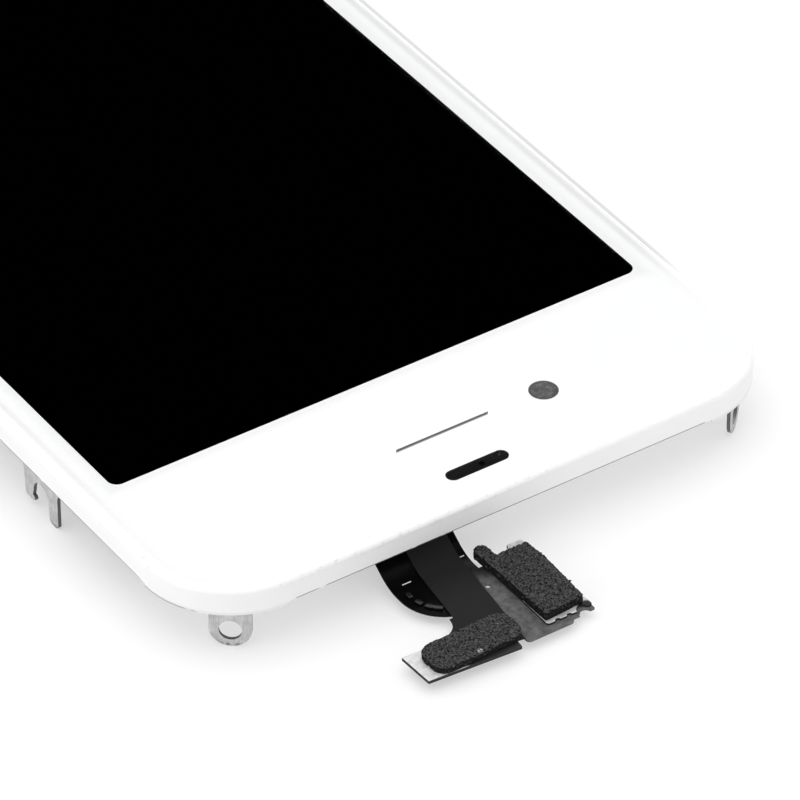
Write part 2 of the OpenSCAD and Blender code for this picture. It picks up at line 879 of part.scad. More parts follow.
module display_foam() {
    bottom = display_flex_top + stiffener_t;
    half_w = display_stiff_w / 2;
    half_l = display_stiff_l / 2;
    back = half_l - 1.25;
    lobe_r = 0.6;
    color("#3a3a3a") layer(bottom + display_foam_h, bottom) at_display_connector() {
        polygon([[-half_w + 0.05, -half_l + 0.85], [half_w - 0.45, -half_l + 1.1],
                 [half_w - 0.2, 2], [half_w - 0.4, back], [-half_w + 0.9, back],
                 [-half_w + 0.9, half_l - 0.1], [-half_w - 0.3, half_l - 0.2],
                 [-half_w - 0.15, 2.9]]);
        translate([-half_w + 0.3, half_l - 0.15]) circle(r = lobe_r);
    }
}

module touch_foam() {
    bottom = touch_flex_top + stiffener_t;
    foam_turn = 5.5;
    color("#3a3a3a") layer(bottom + touch_foam_h, bottom) at_touch_connector()
        translate([0.85, 0.15]) rotate(foam_turn)
            rounded_box(-touch_stiff_w / 2 + 0.15, touch_stiff_w / 2 - 0.15,
                        -touch_stiff_l / 2 + 0.1, touch_stiff_l / 2 - 0.05, 1.15);
}

cover_glass();
border_print();
camera_window();
sensor_window();
border_adhesive();
touch_bond();
touch_sensor();
display_bond();
front_polarizer();
filter_glass();
array_glass();
driver_chip();
rear_polarizer();
upper_prism_film();
lower_prism_film();
diffuser_film();
light_guide();
reflector_film();
lamp_circuit();
lamps();
backlight_frame();
lcd_tray();
tray_tape();
bezel();
steel_frame();
touch_flex();
display_flex();
flex_components();
touch_stiffener();
display_stiffener();
touch_connector();
display_connector();
touch_contacts();
display_contacts();
touch_foam();
display_foam();
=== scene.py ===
# Looks of a phone display assembly: glass front, moulded bezel, steel tabs, two formed
# circuits with foam on their connectors. Lengths named in millimetres are turned into metres.
import math

import bpy
from mathutils import Matrix, Vector, noise


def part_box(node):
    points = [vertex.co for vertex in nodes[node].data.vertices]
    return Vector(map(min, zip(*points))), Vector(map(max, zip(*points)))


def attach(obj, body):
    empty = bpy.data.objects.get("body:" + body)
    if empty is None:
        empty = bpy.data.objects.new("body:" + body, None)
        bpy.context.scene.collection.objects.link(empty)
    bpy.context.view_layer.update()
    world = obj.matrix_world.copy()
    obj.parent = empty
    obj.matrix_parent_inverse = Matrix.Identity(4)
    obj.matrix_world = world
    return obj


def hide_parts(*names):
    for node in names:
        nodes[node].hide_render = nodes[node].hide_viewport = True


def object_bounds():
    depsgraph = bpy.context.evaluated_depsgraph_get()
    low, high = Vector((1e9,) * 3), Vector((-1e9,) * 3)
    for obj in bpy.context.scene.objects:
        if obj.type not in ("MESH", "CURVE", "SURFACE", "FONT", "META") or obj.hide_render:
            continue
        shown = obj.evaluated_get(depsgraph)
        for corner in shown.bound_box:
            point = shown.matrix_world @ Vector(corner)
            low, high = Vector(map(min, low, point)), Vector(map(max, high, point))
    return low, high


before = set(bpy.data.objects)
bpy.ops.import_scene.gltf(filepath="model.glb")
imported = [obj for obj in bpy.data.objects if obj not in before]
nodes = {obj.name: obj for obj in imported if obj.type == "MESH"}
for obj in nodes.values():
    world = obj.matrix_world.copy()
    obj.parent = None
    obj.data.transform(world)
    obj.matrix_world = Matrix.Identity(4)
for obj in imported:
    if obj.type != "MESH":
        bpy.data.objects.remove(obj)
cad_low, cad_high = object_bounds()
MM = 0.001

# Camera, at the place solved from the photograph's straight lines
VIEW_AZIMUTH = -33.884
VIEW_ELEVATION = 38.215
VIEW_ROLL = -0.098
VIEW_DISTANCE = 534.8
VIEW_TARGET = (-0.51, -42.63, -0.1)
LENS = 303.65


def place_camera():
    az = math.radians(VIEW_AZIMUTH)
    el = math.radians(VIEW_ELEVATION)
    back = Vector((math.sin(az) * math.cos(el), -math.cos(az) * math.cos(el), math.sin(el)))
    data = bpy.data.cameras.new("view")
    data.lens = LENS
    data.sensor_width = 36.0
    data.clip_start = 0.01
    data.clip_end = 20.0
    camera = bpy.data.objects.new("view", data)
    bpy.context.scene.collection.objects.link(camera)
    turn = (-back).to_track_quat("-Z", "Y").to_matrix().to_4x4()
    roll = Matrix.Rotation(math.radians(VIEW_ROLL), 4, "Z")
    place = (Vector(VIEW_TARGET) + back * VIEW_DISTANCE) * MM
    camera.matrix_world = Matrix.Translation(place) @ turn @ roll
    bpy.context.scene.camera = camera


place_camera()


# Shader expressions
class Value:
    """A shader socket that can stand in a Python expression."""

    def __init__(self, finish, socket, vector=False):
        self.finish = finish
        self.socket = socket
        self.vector = vector

    def _math(self, operation, first, second=None, third=None):
        vector = any(isinstance(v, Value) and v.vector for v in (first, second))
        kind = "ShaderNodeVectorMath" if vector else "ShaderNodeMath"
        sockets = {0: first}
        if second is not None:
            sockets[1] = second
        if third is not None:
            sockets[2] = third
        if vector:
            sockets = {
                k: (v,) * 3 if isinstance(v, (int, float)) else v for k, v in sockets.items()
            }
        out = self.finish.add(kind, {"operation": operation}, sockets)
        out.vector = vector
        return out

    def __add__(self, other):
        return self._math("ADD", self, other)

    def __radd__(self, other):
        return self._math("ADD", other, self)

    def __sub__(self, other):
        return self._math("SUBTRACT", self, other)

    def __rsub__(self, other):
        return self._math("SUBTRACT", other, self)

    def __mul__(self, other):
        return self._math("MULTIPLY", self, other)

    def __rmul__(self, other):
        return self._math("MULTIPLY", other, self)

    def __truediv__(self, other):
        return self._math("DIVIDE", self, other)

    def __rtruediv__(self, other):
        return self._math("DIVIDE", other, self)

    def __pow__(self, other):
        return self._math("POWER", self, other)

    def __abs__(self):
        return self._math("ABSOLUTE", self)

    def __neg__(self):
        return self._math("MULTIPLY", self, -1.0)

    def least(self, other):
        return self._math("MINIMUM", self, other)

    def most(self, other):
        return self._math("MAXIMUM", self, other)

    def sign(self):
        return self._math("SIGN", self)

    def root(self):
        return self._math("SQRT", self)

    def step(self, low, high):
        """Smooth step from 0 at low to 1 at high. High may be the lower number."""
        flip = high < low
        out = self.finish.add(
            "ShaderNodeMapRange",
            {"interpolation_type": "SMOOTHSTEP"},
            {
                "Value": self,
                "From Min": high if flip else low,
                "From Max": low if flip else high,
                "To Min": 1.0 if flip else 0.0,
                "To Max": 0.0 if flip else 1.0,
            },
        )
        return out


class Finish:
    """One material, with a Principled shader whose sockets take numbers or expressions."""

    def __init__(self, name):
        self.material = bpy.data.materials.new(name)
        self.material.use_nodes = True
        self.tree = self.material.node_tree
        self.shader = self.tree.nodes["Principled BSDF"]
        self.output = self.tree.nodes["Material Output"]
        self._place = None

    def add(self, kind, settings=None, sockets=None, out=0):
        node = self.tree.nodes.new(kind)
        for name, value in (settings or {}).items():
            if name == "stops":
                ramp = node.color_ramp.elements
                while len(ramp) < len(value):
                    ramp.new(0.5)
                for element, (at, colour) in zip(ramp, value):
                    element.position = at
                    element.color = (*colour, 1.0)
            else:
                setattr(node, name, value)
        for name, value in (sockets or {}).items():
            self.feed(node, name, value)
        return Value(self, node.outputs[out])

    def feed(self, node, name, value):
        socket = node.inputs[name]
        if isinstance(value, Value):
            self.tree.links.new(value.socket, socket)
        elif isinstance(value, (tuple, list)) and len(value) == 3 and socket.type == "RGBA":
            socket.default_value = (*value, 1.0)
        else:
            socket.default_value = value

    def set(self, **values):
        """Feeds the Principled shader: base_color feeds Base Color, and so on."""
        names = {"ior": "IOR", "specular_ior_level": "Specular IOR Level"}
        for name, value in values.items():
            self.feed(self.shader, names.get(name, name.replace("_", " ").title()), value)
        return self

    def place(self):
        """Position in the part's frame, in millimetres."""
        if self._place is None:
            coordinates = self.add("ShaderNodeTexCoord", out="Object")
            coordinates.vector = True
            self._place = coordinates * 1000.0
        return self._place

    def split(self, vector):
        node = self.add("ShaderNodeSeparateXYZ", None, {"Vector": vector})
        outputs = node.socket.node.outputs
        return tuple(Value(self, outputs[k]) for k in range(3))

    def facing(self):
        """Components of the surface's own direction in the part's frame."""
        return self.split(self.add("ShaderNodeNewGeometry", out="Normal"))

    def even_normal(self):
        """The true face direction on level faces, and the smoothed one on curved ones."""
        geometry = self.add("ShaderNodeNewGeometry", out="True Normal")
        smooth = self.add("ShaderNodeNewGeometry", out="Normal")
        level = abs(self.split(geometry)[2]).step(0.998, 0.9995)
        node = self.add(
            "ShaderNodeMix", {"data_type": "VECTOR"}, {"Factor": level}
        ).socket.node
        self.feed(node, 4, smooth)
        self.feed(node, 5, geometry)
        return Value(self, node.outputs[1], vector=True)

    def noise(self, scale, detail=2.0, rough=0.5, at=None):
        return self.add(
            "ShaderNodeTexNoise",
            None,
            {
                "Vector": at or self.place(),
                "Scale": scale,
                "Detail": detail,
                "Roughness": rough,
            },
        )

    def cells(self, scale, feature="F1", at=None):
        return self.add(
            "ShaderNodeTexVoronoi",
            {"feature": feature},
            {"Vector": at or self.place(), "Scale": scale},
            out="Distance",
        )

    def stretch(self, x, y, z):
        """Position scaled along each axis, for grain that runs one way."""
        return self.place() * self.add(
            "ShaderNodeCombineXYZ", None, {"X": x, "Y": y, "Z": z}
        )

    def mix(self, share, first, second):
        node = self.add(
            "ShaderNodeMix", {"data_type": "RGBA"}, {"Factor": share}, out="Result"
        ).socket.node
        self.feed(node, 6, first)
        self.feed(node, 7, second)
        return Value(self, node.outputs[2])

    def bump(self, height, strength=0.3, distance=0.02):
        out = self.add(
            "ShaderNodeBump",
            None,
            {
                "Height": height,
                "Strength": strength,
                "Distance": distance * MM,
                "Normal": self.even_normal(),
            },
        )
        return self.set(normal=out)

    def wear(self, obj):
        obj.data.materials.clear()
        obj.data.materials.append(self.material)
        return self


def box_mask(finish, x0, x1, y0, y1, soft=0.02, turn=0.0, about=(0.0, 0.0)):
    """1 inside a rectangle in plan, 0 outside, with a soft edge. It can be turned about a point."""
    x, y, _ = finish.split(finish.place())
    if turn:
        c, s = math.cos(math.radians(turn)), math.sin(math.radians(turn))
        dx, dy = x - about[0], y - about[1]
        x, y = dx * c + dy * s, dy * c - dx * s
    far = abs(x - (x0 + x1) / 2) - (x1 - x0) / 2
    high = abs(y - (y0 + y1) / 2) - (y1 - y0) / 2
    return far.most(high).step(soft, -soft)


def spot_mask(finish, x, y, r, soft):
    px, py, _ = finish.split(finish.place())
    dx, dy = px - x, py - y
    return (dx * dx + dy * dy).root().step(r + soft, r - soft)


def grey(level):
    return (level, level, level)


def slot_mask(finish, half):
    """1 inside the earpiece slot, whose half length is given."""
    x, y, _ = finish.split(finish.place())
    return abs(x).step(half + 0.1, half - 0.1) * abs(y - SLOT_Y).step(0.62, 0.55)


# Sizes that the finishes share with the solids
WINDOW_X = 25.1
WINDOW_NEAR = -39.1
WINDOW_FAR = 36.1
GLASS_X = 27.45
NEAR_FACE = -56.4
SLOT_Y = -48.3
SLOT_HALF = 4.5
CORNER_X = 20.1
CORNER_Y = 48.4
WALL_LOW = -2.2
TAB_LOW = -6.3
HOLE_Z = -4.75
BAND_LOW = -2.27
FLEX_LEVEL = -5.4
TAB_NORMAL = (0.656, 0.755)
HOLE_Y = -60.14
EAR = (0.70, -66.76)
PLATE_DARK_X = -11.07
SPECKS = [(-9.67, -67.22, 0.2), (-12.45, -67.76, 0.12), (-6.77, -65.30, 0.1)]


# Front
def glass_finish(name, tint):
    """Clear polished glass with white ground edges that carry a painted glow, and a painted shadow line
    high on the earpiece slot's far wall. Light for what lies behind passes freely.
    """
    f = Finish(name)
    x, y, z = f.split(f.place())
    _, ny, nz = f.split(f.add("ShaderNodeNewGeometry", out="True Normal"))
    f.set(base_color=tint, transmission_weight=1.0, ior=1.5)
    f.set(roughness=f.noise(0.05, 2.0).step(0.3, 0.9) * 0.01, normal=f.even_normal())
    # Painted shade: a dark line high on the earpiece slot's far wall, where the gap beneath the glass
    # lies in shadow.
    painted_shade_line = slot_mask(f, SLOT_HALF - 0.1) * ny.step(-0.6, -0.9) * y.step(SLOT_Y, SLOT_Y + 0.2)
    painted_shade_line = painted_shade_line * z.step(-0.5, -0.14)
    ground = f.mix(painted_shade_line, f.mix(f.noise(2.0), grey(0.88), grey(0.93)), grey(0.08))
    # Painted glow: the ground edges emit light, except on the painted shade line.
    edge = f.add(
        "ShaderNodeBsdfPrincipled",
        None,
        {
            "Base Color": ground,
            "Roughness": 0.6,
            "Emission Color": f.mix(painted_shade_line, grey(0.45), grey(0.0)),
            "Emission Strength": 1.0,
        },
    )
    body = f.add(
        "ShaderNodeMixShader",
        None,
        {0: abs(nz).step(0.95, 0.6), 1: Value(f, f.shader.outputs[0]), 2: edge},
    )
    paths = f.add("ShaderNodeLightPath").socket.node.outputs
    free = Value(f, paths["Is Shadow Ray"]).most(Value(f, paths["Is Diffuse Ray"]))
    clear = f.add("ShaderNodeBsdfTransparent", None, {"Color": (1.0, 1.0, 1.0)})
    out = f.add("ShaderNodeMixShader", None, {0: free, 1: body, 2: clear})
    f.tree.links.new(out.socket, f.output.inputs["Surface"])
    return f


def bond_finish(name, tint):
    """Clear adhesive: it shows the dark display behind it, dimmed."""
    f = Finish(name)
    clear = f.add("ShaderNodeBsdfTransparent", None, {"Color": (*tint, 1.0)})
    share = f.noise(0.3, 2.0) * 0.02 + 0.02
    f.set(base_color=grey(0.002), roughness=0.3, specular_ior_level=0.0)
    mixed = f.add("ShaderNodeMixShader", None, {0: share, 1: clear})
    f.tree.links.new(f.shader.outputs[0], mixed.socket.node.inputs[2])
    f.tree.links.new(mixed.socket, f.output.inputs["Surface"])
    return f


def painted_slot_glow(finish):
    """Painted glow: emission standing in for the light that reaches the white walls deep in the
    earpiece slot.
    """
    return finish.mix(slot_mask(finish, SLOT_HALF + 0.4), grey(0.0), grey(0.42))


def print_finish():
    """White ink, with painted shade: greyer along the window, on the right-hand border and in a soft
    band just inside the glass edge.
    """
    f = Finish("white_print")
    x, y, _ = f.split(f.place())
    side = abs(x) - WINDOW_X
    end = abs(y - (WINDOW_NEAR + WINDOW_FAR) / 2) - (WINDOW_FAR - WINDOW_NEAR) / 2
    off = side.most(end)
    # Painted shade: greyer within 1.3 mm of the window, in a soft band just inside the glass edge along
    # the sides, and on the right-hand border.
    window_shade = off.step(1.3, 0.0) * 0.09
    along = y.step(WINDOW_NEAR - 6.0, WINDOW_NEAR + 4.0)
    right = x.step(24.0, 25.5) * along
    band = abs(GLASS_X - 0.45 - abs(x)).step(0.55, 0.1) * along * (right * 0.06 + 0.06)
    level = 0.98 - window_shade - band - right * 0.03 - f.noise(0.4, 2.0) * 0.004
    colour = f.mix(level, grey(0.0), (1.0, 1.0, 1.0))
    f.set(base_color=colour, roughness=f.noise(1.5, 2.0) * 0.1 + 0.35)
    # Painted glow in the earpiece slot.
    f.set(specular_ior_level=0.0, emission_color=painted_slot_glow(f), emission_strength=1.0)
    return f


def camera_ink_finish():
    f = Finish("camera_ink")
    mottle = f.noise(2.2, 4.0, 0.6).step(0.3, 0.75)
    rim = spot_mask(f, 9.75, -47.8, 1.05, 0.2)
    colour = f.mix(mottle * rim, grey(0.085), grey(0.17))
    f.set(base_color=colour, roughness=0.45 + f.noise(4.0) * 0.2)
    f.set(specular_ior_level=0.0)
    return f


def sensor_ink_finish():
    f = Finish("sensor_ink")
    dark = spot_mask(f, 0.45, -52.7, 0.28, 0.14)
    light = spot_mask(f, 2.2, -52.55, 0.08, 0.08)
    colour = f.mix(dark, f.mix(f.noise(1.5, 3.0), grey(0.008), grey(0.014)), grey(0.001))
    colour = f.mix(light * 0.4, colour, grey(0.2))
    f.set(base_color=colour, roughness=0.4 + f.noise(5.0) * 0.15)
    f.set(specular_ior_level=0.0)
    return f


def panel_black_finish(name, level, rough, gloss=0.5):
    f = Finish(name)
    colour = f.mix(f.noise(0.4, 2.0), grey(level * 0.6), grey(level))
    f.set(base_color=colour, roughness=rough + f.noise(0.8) * 0.08, normal=f.even_normal())
    f.set(specular_ior_level=gloss)
    return f


# Mouldings and films
def moulding_finish(name, level, rough, grain=14.0):
    f = Finish(name)
    haze = f.noise(0.35, 3.0)
    colour = f.mix(haze, grey(level - 0.03), grey(level))
    f.set(base_color=colour, roughness=rough + f.noise(2.0, 3.0) * 0.12)
    # Painted glow where the moulding lies in the earpiece slot.
    f.set(emission_color=painted_slot_glow(f), emission_strength=1.0)
    f.bump(f.noise(grain, 2.0), 0.06, 0.02)
    return f


def bezel_finish():
    """Satin white moulding with faint handling scuffs along the near wall's top edge. Painted shade
    darkens the right-hand rim, the upright faces, the corners' lowest strip and a line along the wall's
    bottom, and the earpiece slot carries a painted glow.
    """
    f = Finish("bezel_moulding")
    x, y, z = f.split(f.place())
    near = y.step(NEAR_FACE + 0.5, NEAR_FACE + 0.1)
    band = z.step(-0.9, -0.25)
    stretch = x.step(-26.0, -18.0) * x.step(9.0, -2.0)
    streak = f.noise(1.0, 6.0, 0.65, f.stretch(0.9, 3.0, 6.0)).step(0.46, 0.6)
    fleck = f.noise(2.4, 4.0, 0.7).step(0.5, 0.6)
    scuff = near * band * stretch * streak * fleck
    left = x.step(-27.2, -27.9) * z.step(-0.8, -0.3) * y.step(-20.0, -48.0)
    scuff = scuff + left * streak * fleck * 0.6
    moulding_and_shade = f.mix(f.noise(0.3, 3.0), grey(0.86), grey(0.9))
    # Painted shade: a darker strip on the right-hand rim beside the glass, along part of its length.
    rim = x.step(GLASS_X - 0.1, GLASS_X + 0.1) * y.step(-44.0, -36.0) * z.step(-0.7, -0.5)
    moulding_and_shade = f.mix(rim * 0.28, moulding_and_shade, grey(0.0))
    # Painted shade: the upright faces are darkened, more towards negative x, as they take less of the
    # studio's light than the rim
    _, _, nz = f.facing()
    upright_shade = nz.step(0.85, 0.2) * (x.step(18.0, -18.0) * 0.025 + 0.04)
    moulding_and_shade = f.mix(upright_shade, moulding_and_shade, grey(0.0))
    # Painted shade: where the wall is deeper, at the corners, its lowest strip is darkened towards the
    # floor shadow's tone
    corner = abs(x).step(CORNER_X - 0.8, CORNER_X - 0.6) * abs(y).step(CORNER_Y - 0.8, CORNER_Y - 0.6)
    deep = corner * z.step(WALL_LOW + 0.01, WALL_LOW - 0.03)
    moulding_and_shade = f.mix(deep * 0.1, moulding_and_shade, grey(0.0))
    # Painted shade: a broken dark line along the bottom of the wall, standing for the steel band's edge
    # and the shadowed gap beside it, which the solid keeps inset and hidden
    wall = (1.0 - corner) * z.step(WALL_LOW + 0.1, WALL_LOW + 0.05)
    turn = corner * z.step(WALL_LOW - 0.16, WALL_LOW - 0.2) * (y - x).step(-27.0, -26.0)
    run = f.noise(0.5, 2.0).step(0.28, 0.42)
    painted_shade_line = wall.most(turn * x.step(0.0, -5.0)) * run
    moulding_and_shade = f.mix(painted_shade_line * 0.85, moulding_and_shade, grey(0.03))
    f.set(
        base_color=f.mix(scuff.least(1.0) * 0.5, moulding_and_shade, (0.5, 0.49, 0.47)),
        roughness=0.34 + f.noise(1.6, 3.0) * 0.12 + scuff * 0.25,
    )
    # Painted glow where the bezel lies in the earpiece slot.
    f.set(emission_color=painted_slot_glow(f), emission_strength=1.0)
    f.bump(f.noise(9.0, 2.0) * 0.4 + scuff * 2.0, 0.08, 0.02)
    return f


def film_finish(name, colour, rough, lines=0.0):
    """Thin backlight film. The prism films carry fine straight lines."""
    f = Finish(name)
    x, y, _ = f.split(f.place())
    haze = f.noise(0.15, 3.0)
    base = f.mix(haze, tuple(c * 0.93 for c in colour), colour)
    f.set(base_color=base, roughness=rough + f.noise(1.0, 2.0) * 0.1)
    if lines:
        wave = f.add("ShaderNodeMath", {"operation": "SINE"}, {0: (x if lines > 0 else y) * abs(lines)})
        f.bump(wave, 0.2, 0.01)
    return f


# Metal
def sheet_finish(name, face, edge, rough, shine, grain_along="x", plan_edge=True):
    """Rolled steel sheet, bright on its faces, with painted shade on its sheared edges and, on the
    frame, on all faces above the band's lower edge.
    """
    f = Finish(name)
    nx, ny, nz = f.facing()
    if plan_edge:
        flat = abs(nz)
    else:
        x, y, z = f.split(f.place())
        side = (x * y).sign()
        corner = abs(y).step(51.0, 51.2)
        tab = abs(nx * TAB_NORMAL[0] + side * ny * TAB_NORMAL[1])
        flat = tab * corner + abs(nx) * (1.0 - corner)
        flat = flat * z.step(BAND_LOW - 0.02, BAND_LOW - 0.1)
    # Painted shade: faces turned away from the sheet's face, and on the frame everything above the
    # band's lower edge, take the dark edge colour.
    lit = flat.step(0.45, 0.8)
    if not plan_edge:
        # Painted light: the inner wall of the right tab's hole is painted pale against the shade it
        # lies in.
        painted_hole_light = (abs(z - HOLE_Z).step(1.0, 0.9)) * corner * x.step(0.0, 1.0)
        edge = f.mix(painted_hole_light * abs(nx * 0.755 + ny * 0.656).step(1.01, 0.0), grey(edge), grey(0.6))
    else:
        edge = grey(edge)
    along = f.stretch(0.35, 9.0, 9.0) if grain_along == "x" else f.stretch(9.0, 9.0, 0.5)
    grain = f.noise(1.6, 4.0, 0.6, along)
    patch = f.noise(1.1, 4.0, 0.65)
    tone = (grain * 0.5 + patch * 0.5).step(0.36, 0.64)
    bright = f.mix(tone, grey(face * 0.66), grey(face))
    if name == "touch_plate":
        px, _, _ = f.split(f.place())
        bright = f.mix(px.step(PLATE_DARK_X - 0.3, PLATE_DARK_X + 0.3), bright, grey(0.03))
    if name == "display_plate":
        bright = f.mix(spot_mask(f, EAR[0], EAR[1], 0.75, 0.15), bright, grey(0.006))
    if not plan_edge:
        # The tab tips are darkened in patches within half a millimetre of their lower ends.
        dark_near_tip = z.step(TAB_LOW + 0.5, TAB_LOW + 0.1) * f.noise(2.4, 3.0, 0.6).step(0.42, 0.56)
        bright = f.mix(dark_near_tip * 0.7, bright, grey(0.05))
    f.set(
        base_color=f.mix(lit, edge, bright),
        metallic=lit * (shine - 0.5) + 0.5,
        roughness=rough + grain * 0.2 + (1.0 - lit) * 0.15,
    )
    f.bump(grain, 0.15, 0.01)
    return f


def tray_finish():
    """Pressed bright steel, lightly brushed along its length, with faint handling marks."""
    f = Finish("tray_steel")
    grain = f.noise(2.2, 5.0, 0.6, f.stretch(7.0, 0.25, 7.0))
    smudge = f.noise(0.09, 4.0, 0.55).step(0.35, 0.7)
    base = f.mix(grain * 0.5 + smudge * 0.5, grey(0.5), grey(0.66))
    f.set(base_color=base, metallic=0.95, roughness=0.28 + grain * 0.12 + smudge * 0.1)
    f.bump(grain, 0.12, 0.01)
    return f


def gold_finish():
    f = Finish("contact_gold")
    base = f.mix(f.noise(8.0, 2.0), (0.62, 0.42, 0.14), (0.86, 0.62, 0.24))
    f.set(base_color=base, metallic=1.0, roughness=0.25 + f.noise(12.0) * 0.2)
    return f


# Circuits
def touch_circuit_finish():
    """Matt dark cover film with a faint weave of dust."""
    f = Finish("touch_circuit_film")
    cloud = f.noise(0.8, 4.0, 0.6)
    dust = f.noise(9.0, 3.0, 0.7).step(0.68, 0.76) * 0.1
    base = f.mix(cloud, grey(0.008), grey(0.016))
    f.set(base_color=f.mix(dust, base, grey(0.3)), roughness=0.6 + cloud * 0.16)
    f.set(specular_ior_level=0.2)
    f.bump(f.noise(7.0, 3.0), 0.12, 0.02)
    return f


def display_circuit_finish():
    """Glossy black cover film, satin grey beside the connector, with two white tick marks."""
    f = Finish("display_circuit_film")
    x, y, z = f.split(f.place())
    grey_area = x.step(-5.6, -5.2) * z.step(FLEX_LEVEL + 0.2, FLEX_LEVEL + 0.05)
    grey_area = grey_area * (y.step(HOLE_Y + 1.7, HOLE_Y + 0.3) * 0.75 + 0.25)
    mottle = f.noise(1.3, 5.0, 0.65)
    tone = f.mix(mottle.step(0.25, 0.75), grey(0.075), grey(0.17))
    base = f.mix(grey_area, f.mix(f.noise(0.7, 3.0), grey(0.001), grey(0.004)), tone)
    tick = box_mask(f, -9.7, -8.9, -56.64, -56.55).most(box_mask(f, -4.3, -3.72, -56.4, -56.31))
    f.set(
        base_color=f.mix(tick, base, grey(0.8)),
        roughness=0.16 + f.noise(1.2, 3.0) * 0.1 + grey_area * 0.26,
    )
    f.set(specular_ior_level=0.07)
    f.bump(f.noise(0.9, 4.0, 0.6), 0.25, 0.06)
    return f


def connector_finish():
    f = Finish("connector_moulding")
    base = f.mix(f.noise(3.0, 3.0), grey(0.012), grey(0.03))
    f.set(base_color=base, roughness=0.4 + f.noise(6.0, 2.0) * 0.2)
    f.bump(f.noise(20.0, 2.0), 0.1, 0.01)
    return f


def foam_finish():
    """Open dark foam: black pores, grey cell walls, and a few pale specks; its side faces are painted
    darker as shade.
    """
    f = Finish("foam")
    _, _, nz = f.facing()
    pore = f.cells(3.8).step(0.12, 0.45)
    fine = f.noise(6.5, 5.0, 0.75).step(0.36, 0.62)
    # Painted shade: the cell walls on the side faces are much darker than on the top.
    side_shade_factor = nz.step(0.1, 0.7) * 0.85 + 0.15
    base = f.mix(pore * fine * side_shade_factor, grey(0.002), grey(0.11))
    speck = f.noise(5.0, 2.0, 0.5).step(0.735, 0.76) * 0.5
    for x, y, r in SPECKS:
        speck = speck.most(spot_mask(f, x, y, r, 0.06) * f.noise(6.0, 2.0).step(0.4, 0.5))
    f.set(base_color=f.mix(speck, base, grey(0.45)), roughness=0.85 + fine * 0.1)
    f.set(specular_ior_level=0.15)
    f.bump(fine + pore, 0.6, 0.08)
    return f


FINISHES = {
    "cover_glass": glass_finish("cover_glass", (0.995, 1.0, 0.998)),
    "border_print": print_finish(),
    "camera_window": camera_ink_finish(),
    "sensor_window": sensor_ink_finish(),
    "border_adhesive": moulding_finish("border_tape", 0.72, 0.6, 6.0),
    "touch_bond": bond_finish("clear_bond", (0.05, 0.05, 0.05)),
    "touch_sensor": panel_black_finish("sensor_glass", 0.0006, 0.2, 0.0),
    "display_bond": bond_finish("clear_bond_lower", (0.3, 0.3, 0.3)),
    "front_polarizer": panel_black_finish("front_polarizer", 0.0006, 0.25, 0.0),
    "filter_glass": panel_black_finish("filter_glass", 0.03, 0.1),
    "array_glass": panel_black_finish("array_glass", 0.05, 0.1),
    "driver_chip": panel_black_finish("chip", 0.06, 0.3),
    "rear_polarizer": panel_black_finish("rear_polarizer", 0.01, 0.25),
    "upper_prism_film": film_finish("upper_prism_film", (0.82, 0.85, 0.88), 0.25, 40.0),
    "lower_prism_film": film_finish("lower_prism_film", (0.8, 0.83, 0.87), 0.25, -40.0),
    "diffuser_film": film_finish("diffuser_film", (0.88, 0.88, 0.87), 0.6),
    "light_guide": film_finish("light_guide", (0.84, 0.9, 0.9), 0.12),
    "reflector_film": film_finish("reflector_film", (0.9, 0.91, 0.92), 0.3),
    "lamp_circuit": film_finish("lamp_circuit", (0.42, 0.24, 0.07), 0.4),
    "lamps": film_finish("lamp_phosphor", (0.84, 0.78, 0.38), 0.4),
    "backlight_frame": moulding_finish("ring_moulding", 0.88, 0.5),
    "lcd_tray": tray_finish(),
    "tray_tape": moulding_finish("tray_tape", 0.035, 0.6, 8.0),
    "bezel": bezel_finish(),
    "steel_frame": sheet_finish("frame_steel", 0.62, 0.12, 0.3, 0.9, "z", False),
    "touch_flex": touch_circuit_finish(),
    "display_flex": display_circuit_finish(),
    "flex_components": panel_black_finish("covered_parts", 0.01, 0.2),
    "touch_stiffener": sheet_finish("touch_plate", 0.92, 0.02, 0.34, 0.3),
    "display_stiffener": sheet_finish("display_plate", 0.92, 0.02, 0.34, 0.3),
    "touch_connector": connector_finish(),
    "display_connector": connector_finish(),
    "touch_contacts": gold_finish(),
    "display_contacts": gold_finish(),
}
for node_name, finish in FINISHES.items():
    finish.wear(nodes[node_name])


def front_glass():
    """The cover glass, its back lifted a hair off the print so that the two faces stay apart."""
    source = nodes["cover_glass"]
    glass = bpy.data.objects.new("front_glass", source.data.copy())
    bpy.context.scene.collection.objects.link(glass)
    low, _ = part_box("cover_glass")
    for vertex in glass.data.vertices:
        if vertex.co.z < low.z + 0.01 * MM:
            vertex.co.z += 0.008 * MM
    FINISHES["cover_glass"].wear(glass)
    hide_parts("cover_glass")
    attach(glass, "root")


front_glass()


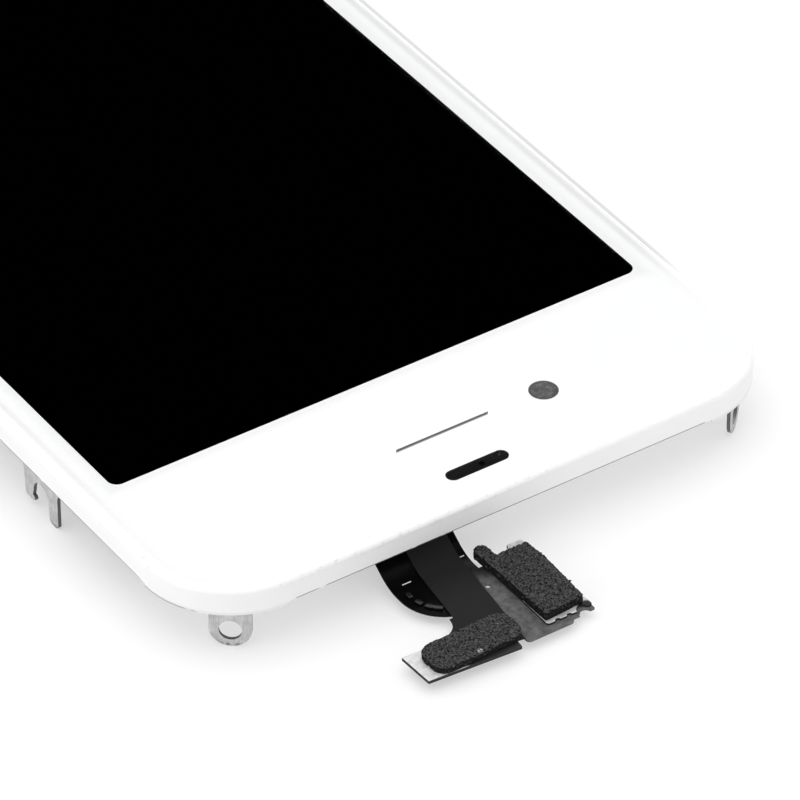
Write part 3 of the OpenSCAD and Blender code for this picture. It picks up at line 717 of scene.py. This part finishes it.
# Foam pads
def foam_pad(node_name, voxel, seed):
    """Open foam in the shape of its solid: cut walls pitted with cells, and crumbled edges."""
    source = nodes[node_name]
    pad = bpy.data.objects.new(node_name + "_cells", source.data.copy())
    bpy.context.scene.collection.objects.link(pad)
    remesh = pad.modifiers.new("voxels", "REMESH")
    remesh.mode = "VOXEL"
    remesh.voxel_size = voxel * MM
    soften = pad.modifiers.new("soften", "SMOOTH")
    soften.iterations = 2
    depsgraph = bpy.context.evaluated_depsgraph_get()
    mesh = bpy.data.meshes.new_from_object(pad.evaluated_get(depsgraph))
    pad.modifiers.clear()
    pad.data = mesh
    low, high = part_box(node_name)
    shift = Vector((seed * 3.1, seed * 1.7, seed * 0.9))
    for vertex in mesh.vertices:
        p = vertex.co / MM + shift
        nearest = noise.voronoi(p * 3.0)[0][0]
        pit = max(0.0, 1.0 - nearest / 0.5)
        rough = noise.noise(p * 5.0) * 0.6 + noise.noise(p * 11.0) * 0.4
        low_edge = (vertex.co.z - low.z) / (high.z - low.z)
        depth = 0.2 * pit * math.sqrt(pit) + rough * 0.1
        if low_edge < 0.12:
            depth *= low_edge / 0.12
        vertex.co -= vertex.normal * depth * MM
    for polygon in mesh.polygons:
        polygon.use_smooth = True
    foam_finish().wear(pad)
    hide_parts(node_name)
    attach(pad, "root")
    return pad


foam_pad("touch_foam", 0.07, 1.0)
foam_pad("display_foam", 0.07, 2.0)


def soft_parts():
    """The parts on the display circuit, rounded over by the cover film that lies on them."""
    source = nodes["flex_components"]
    lumps = bpy.data.objects.new("covered_parts", source.data.copy())
    bpy.context.scene.collection.objects.link(lumps)
    remesh = lumps.modifiers.new("voxels", "REMESH")
    remesh.mode = "VOXEL"
    remesh.voxel_size = 0.06 * MM
    soften = lumps.modifiers.new("soften", "SMOOTH")
    soften.iterations = 12
    depsgraph = bpy.context.evaluated_depsgraph_get()
    mesh = bpy.data.meshes.new_from_object(lumps.evaluated_get(depsgraph))
    lumps.modifiers.clear()
    lumps.data = mesh
    for polygon in mesh.polygons:
        polygon.use_smooth = True
    FINISHES["flex_components"].wear(lumps)
    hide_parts("flex_components")
    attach(lumps, "root")


soft_parts()


# Stage
def stage_finish():
    f = Finish("studio_floor")
    f.set(base_color=f.mix(f.noise(0.002, 2.0), grey(0.52), grey(0.54)), roughness=0.9)
    f.set(emission_color=(1.0, 1.0, 1.0), emission_strength=0.45)
    return f


def make_stage():
    half = 3.0
    mesh = bpy.data.meshes.new("floor")
    z = cad_low.z - 0.00002
    mesh.from_pydata(
        [(-half, -half, z), (half, -half, z), (half, half, z), (-half, half, z)], [], [(0, 1, 2, 3)]
    )
    floor = bpy.data.objects.new("floor", mesh)
    bpy.context.scene.collection.objects.link(floor)
    stage_finish().wear(floor)


# Level of the sky at each height, as the sine of the angle above the horizon. The dark ring
# is what level glass mirrors, so the display looks black.
SKY = [(0.0, 0.9), (0.5, 1.0), (0.56, 0.0), (0.68, 0.0), (0.75, 1.0), (1.0, 1.0)]
SKY_STRENGTH = 1.53
SKY_LEAN = 0.11
SKY_BACK = 0.28


def make_world():
    """A white studio tent with a dark ring, a little brighter on the left."""
    world = bpy.data.worlds.new("studio")
    bpy.context.scene.world = world
    world.use_nodes = True
    tree = world.node_tree
    background = tree.nodes["Background"]
    coordinates = tree.nodes.new("ShaderNodeTexCoord")
    split = tree.nodes.new("ShaderNodeSeparateXYZ")
    ramp = tree.nodes.new("ShaderNodeValToRGB")
    tree.links.new(coordinates.outputs["Generated"], split.inputs[0])
    tree.links.new(split.outputs["Z"], ramp.inputs[0])
    elements = ramp.color_ramp.elements
    while len(elements) < len(SKY):
        elements.new(0.5)
    for element, (height, level) in zip(elements, SKY):
        element.position = height
        element.color = (level, level, level, 1.0)
    lean = tree.nodes.new("ShaderNodeMath")
    lean.operation = "MULTIPLY_ADD"
    lean.inputs[1].default_value = -SKY_LEAN * SKY_STRENGTH
    lean.inputs[2].default_value = SKY_STRENGTH
    tree.links.new(split.outputs["X"], lean.inputs[0])
    deep = tree.nodes.new("ShaderNodeMath")
    deep.operation = "MULTIPLY_ADD"
    deep.inputs[1].default_value = SKY_BACK * SKY_STRENGTH
    tree.links.new(split.outputs["Y"], deep.inputs[0])
    tree.links.new(lean.outputs[0], deep.inputs[2])
    tree.links.new(ramp.outputs[0], background.inputs["Color"])
    tree.links.new(deep.outputs[0], background.inputs["Strength"])


make_stage()
make_world()
bpy.context.scene.view_settings.view_transform = "Standard"
